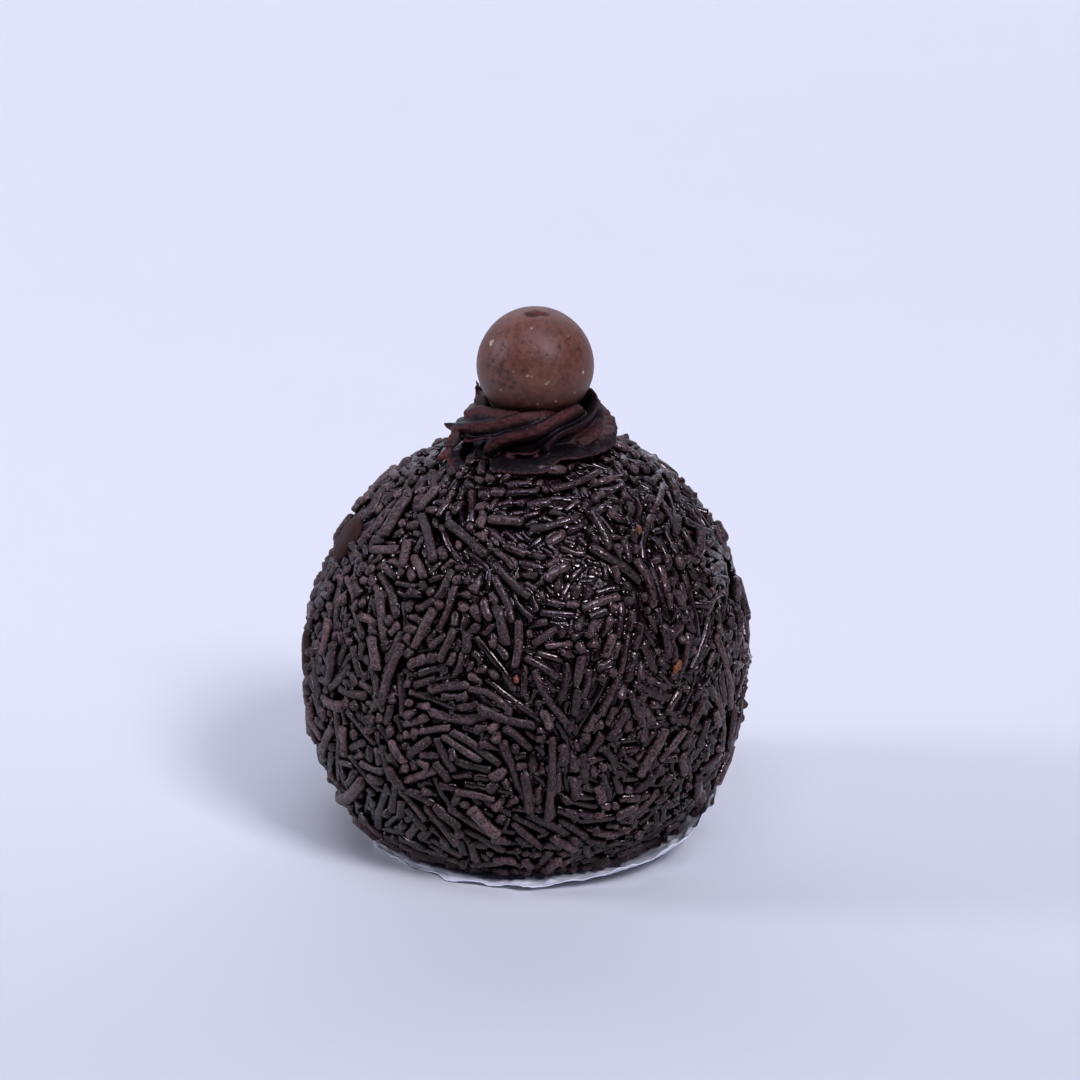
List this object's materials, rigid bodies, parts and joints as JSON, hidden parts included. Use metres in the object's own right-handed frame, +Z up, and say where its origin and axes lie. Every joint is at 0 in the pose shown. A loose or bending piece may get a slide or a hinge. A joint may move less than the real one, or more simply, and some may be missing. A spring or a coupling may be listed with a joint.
{
  "type": "brigadeiro",
  "caption": "Large fudge ball coated in chocolate sprinkles, topped with a piped ganache rosette and a malt ball, on a thin paper round.",
  "frame": {"origin": "on the table, under the middle of the ball, on the flat underside of the paper round", "axes": "+Z up, through the middle of the ball and the malt ball; the front, with the main ridges of the rosette, is the -Y side, and the paper curls up on the +X side"},
  "size_m": [0.0604, 0.0598, 0.072],
  "materials": {
    "paper": "thin white crinkled greaseproof paper, matt, a little see-through",
    "sprinkles": "dark chocolate sprinkles, fine dull grain, wet and glossy on one side where syrup has soaked in",
    "ganache": "piped dark chocolate ganache, smooth and half matt, grainy along its ridges",
    "milk_chocolate": "milk chocolate coat, waxy and half matt, with small pits and pale specks"
  },
  "bodies": {
    "root": {"paper_round": "paper", "sprinkled_ball": "sprinkles", "ganache_rosette": "ganache", "malt_ball": "milk_chocolate"}
  },
  "joints": []
}
